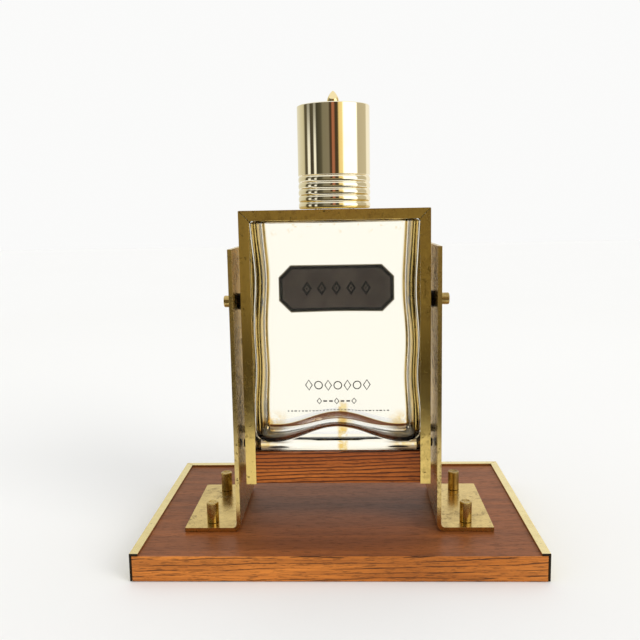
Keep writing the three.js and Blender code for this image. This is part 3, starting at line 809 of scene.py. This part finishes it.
# %% Bottle outside
OUTER_CORNER = 6 * MM
OUTER_EDGE = 3 * MM
PUNT_RISE = 1.5 * MM
PUNT_WIDE, PUNT_DEEP = 112 * MM, 46 * MM
STRIP = 4 * MM
mouth = glass_high.z
side_x = glass_high.x
shoulder_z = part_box("cradle_channel_top")[1].z - 1.9 * MM
outer_low = Vector((-side_x, glass_low.y, glass_low.z))
outer_high = Vector((side_x, glass_high.y, shoulder_z))
bm = rounded_block(outer_low, outer_high, OUTER_CORNER, OUTER_EDGE, 5)
sliced(bm, 0, outer_low.x + OUTER_CORNER, outer_high.x - OUTER_CORNER, STRIP)
sliced(bm, 1, outer_low.y + OUTER_EDGE, outer_high.y - OUTER_EDGE, STRIP)
for vert in bm.verts:
    if vert.co.z < outer_low.z + 1e-5:
        vert.co.z += PUNT_RISE * hill(vert.co.x, vert.co.y, PUNT_WIDE, PUNT_DEEP)
outer_rim = opened(bm, outer_high.z)
print("outside", len(bm.faces), "faces, rim of", len(outer_rim), "edges")

# %% Bottle cavity
SIDE_WALL, FACE_WALL = 4.5 * MM, 5.5 * MM
FLOOR_WALL, SHOULDER_WALL = 3.5 * MM, 4 * MM
CAVITY_ROUND = 9 * MM
ROUND_ACROSS, ROUND_DEEP, ROUND_TOP = 14 * MM, 15 * MM, 4 * MM
CAVITY_STRIP = 3 * MM
cavity_low = Vector((-side_x + SIDE_WALL, glass_low.y + FACE_WALL, glass_low.z + FLOOR_WALL))
cavity_high = Vector((side_x - SIDE_WALL, glass_high.y - FACE_WALL, shoulder_z - SHOULDER_WALL))
cavity = rounded_block(cavity_low, cavity_high, CAVITY_ROUND, CAVITY_ROUND, 9)
sliced(cavity, 0, cavity_low.x + CAVITY_ROUND, cavity_high.x - CAVITY_ROUND, CAVITY_STRIP)
sliced(cavity, 2, cavity_low.z + CAVITY_ROUND, cavity_high.z - CAVITY_ROUND, CAVITY_STRIP)
RIDGE_RISE = 12.5 * MM
RIDGE_WIDTH = 104 * MM
tall = cavity_high.z - cavity_low.z


def reshaped(value, centre, reach, wanted):
    """Widens or narrows the rounded band next to a wall, and lets the flat middle give way."""
    away = abs(value - centre)
    if away > reach - CAVITY_ROUND:
        away = reach - (reach - away) * wanted / CAVITY_ROUND
    else:
        away *= (reach - wanted) / (reach - CAVITY_ROUND)
    return centre + math.copysign(away, value - centre)


middle_z = (cavity_low.z + cavity_high.z) / 2
for vert in cavity.verts:
    x, y, z = vert.co
    x = reshaped(x, NECK_X, cavity_high.x - NECK_X, ROUND_ACROSS)
    y = reshaped(y, NECK_Y, cavity_high.y - NECK_Y, ROUND_DEEP)
    if z > middle_z:
        z = reshaped(z, middle_z, tall / 2, ROUND_TOP)
    up = (z - cavity_low.z) / tall
    fade = math.sin(math.pi * min(1, max(0, up))) ** 0.5
    side = (x - NECK_X) / cavity_high.x
    outward = min(1, max(0, (abs(side) - 0.5) / 0.25))
    outward = math.copysign(outward * outward * (3 - 2 * outward), side)
    swell = math.exp(-(((up - 0.78) / 0.22) ** 2)) + 0.45 * math.exp(-(((up - 0.3) / 0.12) ** 2))
    lean = 0.3 + 3.2 * swell + 0.4 * math.sin(17 * up + 2.2 + side)
    lean += 0.4 * math.sin(150 * (y - NECK_Y) + 6 * up)
    x -= outward * fade * lean * MM
    y += 0.3 * MM * fade * math.sin(70 * x + 1.3) * math.sin(46 * z + 0.5)
    if up < 0.3:
        hump = math.cos(min(1, abs(x - NECK_X) / (RIDGE_WIDTH / 2)) * math.pi / 2) ** 2
        z += (1 - up / 0.3) * RIDGE_RISE * hump
    vert.co = (x, y, z)
inner_rim = opened(cavity, cavity_high.z)
print("cavity", len(cavity.faces), "faces, rim of", len(inner_rim), "edges")

# %% [markdown]
# The neck's skin runs from the shoulder up past three turns of thread, over a rounded lip and down
# the bore to the cavity's ceiling. All three skins go into one mesh, and two flat fills join them.
# The bore's foot is wider, front to back, than the flat of the ceiling it meets, so the fill there
# folds over itself and leaves a few edges that don't join two faces. The count is printed.

# %% Bottle neck and closing
NECK_RADIUS = 15.5 * MM
THREAD_RADIUS = 16.9 * MM
BORE_RADIUS = 11.5 * MM
NECK_FLARE = 1.4 * MM
neck = [(NECK_RADIUS + NECK_FLARE, shoulder_z), (NECK_RADIUS + 0.4 * MM, shoulder_z + 0.5 * MM)]
neck.append((NECK_RADIUS, shoulder_z + 1.4 * MM))
for crest in (mouth - 16.5 * MM, mouth - 11.5 * MM, mouth - 6.5 * MM):
    for rise, out in ((-1.5, 0), (-0.9, 0.7), (-0.3, 1), (0.3, 1), (0.9, 0.7), (1.5, 0)):
        reach = NECK_RADIUS + (THREAD_RADIUS - NECK_RADIUS) * out
        neck.append((reach, crest + rise * MM))
neck += [
    (NECK_RADIUS, mouth - 1.2 * MM),
    (NECK_RADIUS - 0.4 * MM, mouth - 0.35 * MM),
    (NECK_RADIUS - 1.2 * MM, mouth),
    (BORE_RADIUS + 1.0 * MM, mouth),
    (BORE_RADIUS + 0.3 * MM, mouth - 0.3 * MM),
    (BORE_RADIUS, mouth - 1.0 * MM),
    (BORE_RADIUS, cavity_high.z + 1.2 * MM),
    (BORE_RADIUS + 0.5 * MM, cavity_high.z + 0.3 * MM),
    (BORE_RADIUS + NECK_FLARE, cavity_high.z),
]
neck_skin = set_at(turned(neck, 72), Vector((NECK_X, NECK_Y, 0)))
for skin in (cavity, neck_skin):
    part = bpy.data.meshes.new("skin")
    skin.to_mesh(part)
    skin.free()
    bm.from_mesh(part)
    bpy.data.meshes.remove(part)
for height in (shoulder_z, cavity_high.z):
    ring = [e for e in bm.edges if e.is_boundary]
    ring = [e for e in ring if all(abs(v.co.z - height) < 1e-6 for v in e.verts)]
    bmesh.ops.triangle_fill(bm, use_beauty=True, edges=ring)
bmesh.ops.remove_doubles(bm, verts=bm.verts, dist=1e-7)
bmesh.ops.recalc_face_normals(bm, faces=bm.faces)
open_edges = sum(not e.is_manifold for e in bm.edges)
glass_ml = round(bm.calc_volume() * 1e6)
print("bottle", len(bm.faces), "faces,", open_edges, "open edges,", glass_ml, "ml of glass")
obj = piece("bottle_fine", bm, "cradle", bottle_glass, "clear_glass", "glass_bottle")
obj.modifiers.new("steady normals", "WEIGHTED_NORMAL")

# %% [markdown]
# ## Label
# The label is a thin enamelled plate with cut corners, stuck to the glass. Its face has a raised
# border and a row of lozenges in gilt; from behind, through the glass, it shows as dark metal with
# a darker border. Two finishes share one pattern: the distance from the outline makes the border.


# %% Label finishes
label_low, label_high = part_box("label_plaque")
LABEL_X = (label_low.x + label_high.x) / 2
LABEL_Z = (label_low.z + label_high.z) / 2
LABEL_HALF_WIDE = (label_high.x - label_low.x) / 2
LABEL_HALF_TALL = (label_high.z - label_low.z) / 2
LABEL_CUT = 10 * MM
BORDER = 3.4 * MM
LOZENGE_PITCH = 12.5 * MM


def label_finish(name, ground, ground_light, border, ornament, metallic, roughness):
    finish = Finish(name)
    x = abs(finish.axis("X") - LABEL_X)
    z = abs(finish.axis("Z") - LABEL_Z)
    sides = (LABEL_HALF_WIDE - x).math("MINIMUM", LABEL_HALF_TALL - z)
    corner = (LABEL_HALF_WIDE + LABEL_HALF_TALL - LABEL_CUT - x - z) * 0.7071
    inside = sides.math("MINIMUM", corner)
    rim = inside.between(BORDER + 0.3 * MM, BORDER - 0.3 * MM)
    step = ((x + LOZENGE_PITCH / 2) / LOZENGE_PITCH).math("FRACT")
    from_middle = abs(step - 0.5) * LOZENGE_PITCH
    spread = from_middle * 1.5 + z
    lozenge = spread.between(6.6 * MM, 6.1 * MM) - spread.between(3.4 * MM, 2.9 * MM)
    dot = spread.between(1.5 * MM, 1.1 * MM)
    row = x.between(LOZENGE_PITCH * 2.5, LOZENGE_PITCH * 2.5 - 0.2 * MM)
    motif = (lozenge + dot) * row
    cloud = finish.noise(60, detail=4, rough=0.6)
    tone = finish.mix(cloud.between(0.35, 0.7), ground, ground_light)
    tone = finish.mix(rim, tone, border)
    tone = finish.mix(motif, tone, ornament)
    # painted highlight: a pale line along the plate's outline, on both faces
    outline_highlight = inside.between(1.0 * MM, 0.6 * MM) * 0.8
    finish.feed("Base Color", finish.mix(outline_highlight, tone, (0.80, 0.70, 0.50)))
    finish.feed("Specular IOR Level", 0.25)
    finish.feed("Metallic", rim.math("MAXIMUM", motif) * metallic)
    finish.feed("Roughness", roughness + cloud * 0.15)
    finish.bump(rim + motif, 0.0002, 0.6)
    return finish.material


label_face = label_finish(
    "label_face", (0.040, 0.022, 0.014), (0.060, 0.034, 0.022), (0.70, 0.52, 0.20),
    (0.72, 0.54, 0.22), 1.0, 0.3,
)
label_back = label_finish(
    "label_back", (0.120, 0.090, 0.078), (0.180, 0.140, 0.120), (0.004, 0.003, 0.003),
    (0.004, 0.003, 0.003), 0.0, 0.6,
)

# %% Label plate
bm = merged_copy("label_plaque")
bm.normal_update()
front = max(bm.faces, key=lambda f: f.normal.y)
bmesh.ops.inset_region(bm, faces=[front], thickness=BORDER, depth=-0.25 * MM)
for face in bm.faces:
    face.material_index = 1 if face.normal.y < -0.9 else 0
obj = piece("label_fine", bm, "cradle", [label_face, label_back], "enamel", "label_plaque")
ease(obj, 0.08 * MM, 2)
print("label", round(LABEL_HALF_WIDE * 2, 4), "wide", round(LABEL_HALF_TALL * 2, 4), "tall")

# %% [markdown]
# ## Printed ornament
# Below the label the face of the bottle carries three lines of fine dark screen printing. Here they
# are plain ornament: rings and lozenges, a row of small bars and lozenges, and a row of dashes. Ink
# stands less than a tenth of a millimetre proud, so each mark is a flat shape given a thin wall.

# %% Printed ornament
ink = plain("printing_ink", (0.11, 0.105, 0.09), (0.06, 0.058, 0.05), 1500, 0.6, 0.000005)
INK_Y = glass_high.y + 0.03 * MM
INK_THICK = 0.05 * MM
marks = bmesh.new()


def upright(x, z):
    return Matrix.Translation((x, INK_Y, z)) @ Matrix.Rotation(math.pi / 2, 4, "X")


def ring_mark(x, z, radius, line, squash=1.0, sides=32):
    """A flat ring, or a lozenge outline if it has four sides."""
    shape = upright(x, z) @ Matrix.Diagonal((squash, 1, 1, 1))
    made = bmesh.ops.create_circle(
        marks, cap_ends=True, radius=radius, segments=sides, matrix=shape
    )
    face = made["verts"][0].link_faces[0]
    bmesh.ops.inset_region(marks, faces=[face], thickness=line, use_boundary=True)
    bmesh.ops.delete(marks, geom=[face], context="FACES")


def solid_mark(x, z, wide, tall):
    shape = upright(x, z) @ Matrix.Diagonal((wide, tall, 1, 1))
    bmesh.ops.create_grid(marks, x_segments=1, y_segments=1, size=0.5, matrix=shape)


for place in range(-3, 4):
    x = place * 8.2 * MM
    if place % 2:
        ring_mark(x, 119.3 * MM, 4.8 * MM, 0.9 * MM, 0.68, 4)
    else:
        ring_mark(x, 119.3 * MM, 3.7 * MM, 0.85 * MM)
for place in range(-3, 4):
    if place % 3 == 0:
        ring_mark(-1.2 * MM + place * 5 * MM, 105.4 * MM, 2.9 * MM, 0.8 * MM, 0.8, 4)
    else:
        solid_mark(-1.2 * MM + place * 5 * MM, 105.4 * MM, 3.2 * MM, 1.3 * MM)
for place in range(-14, 15):
    wide = (2.2, 1.2, 1.7)[place % 3] * MM
    solid_mark(place * 3.05 * MM, 96.6 * MM, wide, 0.9 * MM)
flat = marks.faces[:]
made = bmesh.ops.extrude_face_region(marks, geom=flat)
raised = [v for v in made["geom"] if isinstance(v, bmesh.types.BMVert)]
bmesh.ops.translate(marks, vec=(0, INK_THICK, 0), verts=raised)
bmesh.ops.recalc_face_normals(marks, faces=marks.faces)
print("ornament", len(marks.faces), "faces")
piece("printed_ornament", marks, "cradle", ink, "enamel")

# %% [markdown]
# ## Finishes on the solids that keep their shape
# Screws, pins and the liner are right as they are, and mostly hidden. They only need a finish.

# %% Finish the kept solids
for name, node in frame["nodes"].items():
    if node.hide_render:
        continue
    finish = steel
    if name.startswith("block_screw"):
        finish = nut_brass
    elif name == "cap_liner":
        finish = foam
    for slot in node.material_slots:
        slot.material = finish
    print("kept", name, finish.name)

# %% [markdown]
# ## Stage
# The object stands on a wide pale floor under an even pale sky, with one large soft light low on
# the right, like a window. Polished brass shows what it reflects, so there is also a room to
# reflect: a tall screen all round, dark behind the camera with a bright window on the right. Only
# reflections see the screen and the dark card that lies on the floor on the -Y side. The glass has
# a curved card of its own close behind it, which only rays through the glass meet. The cards are
# set for the camera's view, so from some other sides an edge of the curved one shows in the glass.

# %% Floor and sky
floor_bm = bmesh.new()
bmesh.ops.create_grid(floor_bm, x_segments=1, y_segments=1, size=6)
floor_mesh = bpy.data.meshes.new("floor")
floor_bm.to_mesh(floor_mesh)
floor_bm.free()
floor = bpy.data.objects.new("floor", floor_mesh)
floor.location.z = -0.0005
scene.collection.objects.link(floor)
floor_finish = Finish("floor_paint", Roughness=0.7, Specular_IOR_Level=0.05)
tone = floor_finish.noise(3, detail=2)
floor_finish.feed("Base Color", floor_finish.mix(tone, (0.865, 0.865, 0.86), (0.875, 0.875, 0.87)))
floor_mesh.materials.append(floor_finish.material)

world = bpy.data.worlds.new("pale_sky")
world.use_nodes = True
world.node_tree.nodes["Background"].inputs["Color"].default_value = (1.0, 1.0, 0.992, 1)
world.node_tree.nodes["Background"].inputs["Strength"].default_value = 0.96
scene.world = world
scene.view_settings.view_transform = "Standard"

# %% Window light
sun_azimuth = math.radians(52)
sun_height = math.radians(27)
towards_sun = Vector(
    (
        math.sin(sun_azimuth) * math.cos(sun_height),
        -math.cos(sun_azimuth) * math.cos(sun_height),
        math.sin(sun_height),
    )
)
lamp = bpy.data.lights.new("window", "SUN")
lamp.angle = math.radians(32)
lamp.energy = 1.05
lamp.color = (1.0, 0.985, 0.96)
window = bpy.data.objects.new("window", lamp)
window.rotation_mode = "QUATERNION"
window.rotation_quaternion = towards_sun.to_track_quat("Z", "Y")
window.visible_glossy = False
scene.collection.objects.link(window)


# %% Room to reflect
def reflected_only(obj):
    obj.visible_camera = False
    obj.visible_diffuse = False
    obj.visible_transmission = False
    obj.visible_volume_scatter = False
    obj.visible_shadow = False


def glow(name, colour_of):
    finish = Finish(name, Base_Color=(0, 0, 0), Specular_IOR_Level=0.0, Emission_Strength=1.0)
    finish.feed("Emission Color", colour_of(finish))
    return finish.material


def compass(finish):
    """0 to 1 round the object, from -180 to 180 degrees, with the camera's side at 0."""
    x = finish.axis("X")
    y = finish.axis("Y")
    return x.math("ARCTAN2", y * -1.0) / (2 * math.pi) + 0.5


def card(name, bm, material):
    """Turns a bmesh into a piece of the stage that only reflections see."""
    mesh = bpy.data.meshes.new(name)
    bm.to_mesh(mesh)
    bm.free()
    mesh.materials.append(material)
    obj = bpy.data.objects.new(name, mesh)
    scene.collection.objects.link(obj)
    reflected_only(obj)
    return obj


def raise_wall(bm, tall):
    """Pulls every edge up into a standing wall."""
    made = bmesh.ops.extrude_edge_only(bm, edges=bm.edges[:])
    top = [v for v in made["geom"] if isinstance(v, bmesh.types.BMVert)]
    bmesh.ops.translate(bm, vec=(0, 0, tall), verts=top)


def ring_of(finish, stops):
    settings = {"stops": [((angle + 180) / 360, colour) for angle, colour in stops]}
    return finish.node("ShaderNodeValToRGB", settings, {"Fac": compass(finish)})


def room_colour(finish):
    """Colour by compass direction: the cap, which stands high, sees more than the frame does."""
    sides = [
        (-180, (0.88, 0.86, 0.78)),
        (-110, (0.66, 0.62, 0.46)),
        (-103, (0.50, 0.46, 0.33)),
        (-100, (0.08, 0.07, 0.04)),
        (-90, (0.13, 0.11, 0.07)),
        (-87, (1.0, 1.0, 0.94)),
        (-79, (1.0, 1.0, 0.94)),
        (-76, (0.05, 0.04, 0.03)),
        (-65, (0.07, 0.06, 0.04)),
        (-62, (1.05, 1.04, 0.98)),
        (-57, (1.05, 1.04, 0.98)),
        (-54, (0.05, 0.045, 0.03)),
        (-38, (0.10, 0.09, 0.06)),
        (-32, (0.22, 0.20, 0.14)),
        (-14, (0.24, 0.21, 0.15)),
    ]
    right = [
        (18, (0.92, 0.70, 0.30)),
        (28, (0.98, 0.80, 0.38)),
        (33, (1.6, 1.6, 1.54)),
        (76, (1.6, 1.6, 1.54)),
        (81, (0.54, 0.48, 0.35)),
        (120, (0.58, 0.52, 0.38)),
        (128, (1.0, 0.95, 0.84)),
        (180, (0.90, 0.88, 0.82)),
    ]
    high = [
        (-10, (0.07, 0.05, 0.03)),
        (-5, (0.08, 0.045, 0.025)),
        (-3, (0.44, 0.165, 0.09)),
        (3, (0.38, 0.15, 0.085)),
        (6, (0.06, 0.042, 0.024)),
        (14, (0.08, 0.055, 0.03)),
    ]
    low = [(-11, (0.27, 0.22, 0.125)), (8, (0.27, 0.22, 0.125)), (24, (0.26, 0.21, 0.12))]
    upper = ring_of(finish, sides + high + right)
    lower = ring_of(finish, sides + low + right[1:])
    room = finish.mix(finish.axis("Z").between(0.34, 0.37), lower, upper)
    west = compass(finish)
    streaks = west.between(0.247, 0.252) * west.between(0.350, 0.347)
    dim = finish.axis("Z").between(0.42, 0.62) * streaks * 0.75
    return finish.mix(dim, room, (0.10, 0.09, 0.06))


def near_colour(finish):
    """Dark near the object, and lighter further out along -Y."""
    away = finish.axis("Y").between(-0.45, -1.5)
    return finish.mix(away, (0.045, 0.038, 0.025), (0.20, 0.165, 0.10))


SCREEN_RADIUS, SCREEN_TALL = 1.7, 1.5
screen_bm = bmesh.new()
bmesh.ops.create_circle(screen_bm, radius=SCREEN_RADIUS, segments=96)
raise_wall(screen_bm, SCREEN_TALL)
card("room_screen", screen_bm, glow("room_glow", room_colour))

NEAR_CENTRE = (0, -1.02, 0)
NEAR_SIZE = (2.6, 1.30, 1, 1)
near_bm = bmesh.new()
bmesh.ops.create_grid(near_bm, x_segments=1, y_segments=1, size=0.5)
near_place = Matrix.Translation(NEAR_CENTRE) @ Matrix.Diagonal(NEAR_SIZE)
bmesh.ops.transform(near_bm, matrix=near_place, verts=near_bm.verts)
card("dark_near_floor", near_bm, glow("near_glow", near_colour))


def behind_colour(finish):
    """What the glass shows: pale straight behind it, tan and brown out to the sides."""
    half = [
        (96, (0.95, 0.90, 0.76)),
        (112, (0.66, 0.57, 0.40)),
        (122, (1.0, 0.95, 0.80)),
        (132, (0.40, 0.31, 0.20)),
        (142, (0.95, 0.89, 0.72)),
        (148, (1.05, 1.03, 0.94)),
        (180, (1.05, 1.03, 0.94)),
    ]
    return ring_of(finish, [(-angle, tone) for angle, tone in reversed(half)] + half)


BACK_RADIUS, BACK_TALL = 0.30, 0.7
back_bm = bmesh.new()
bmesh.ops.create_circle(back_bm, radius=BACK_RADIUS, segments=96)
front_half = [v for v in back_bm.verts if v.co.y < 0]
bmesh.ops.delete(back_bm, geom=front_half, context="VERTS")
raise_wall(back_bm, BACK_TALL)
back = card("seen_through_glass", back_bm, glow("behind_glow", behind_colour))
back.visible_glossy = False
back.visible_transmission = True
print("stage set")
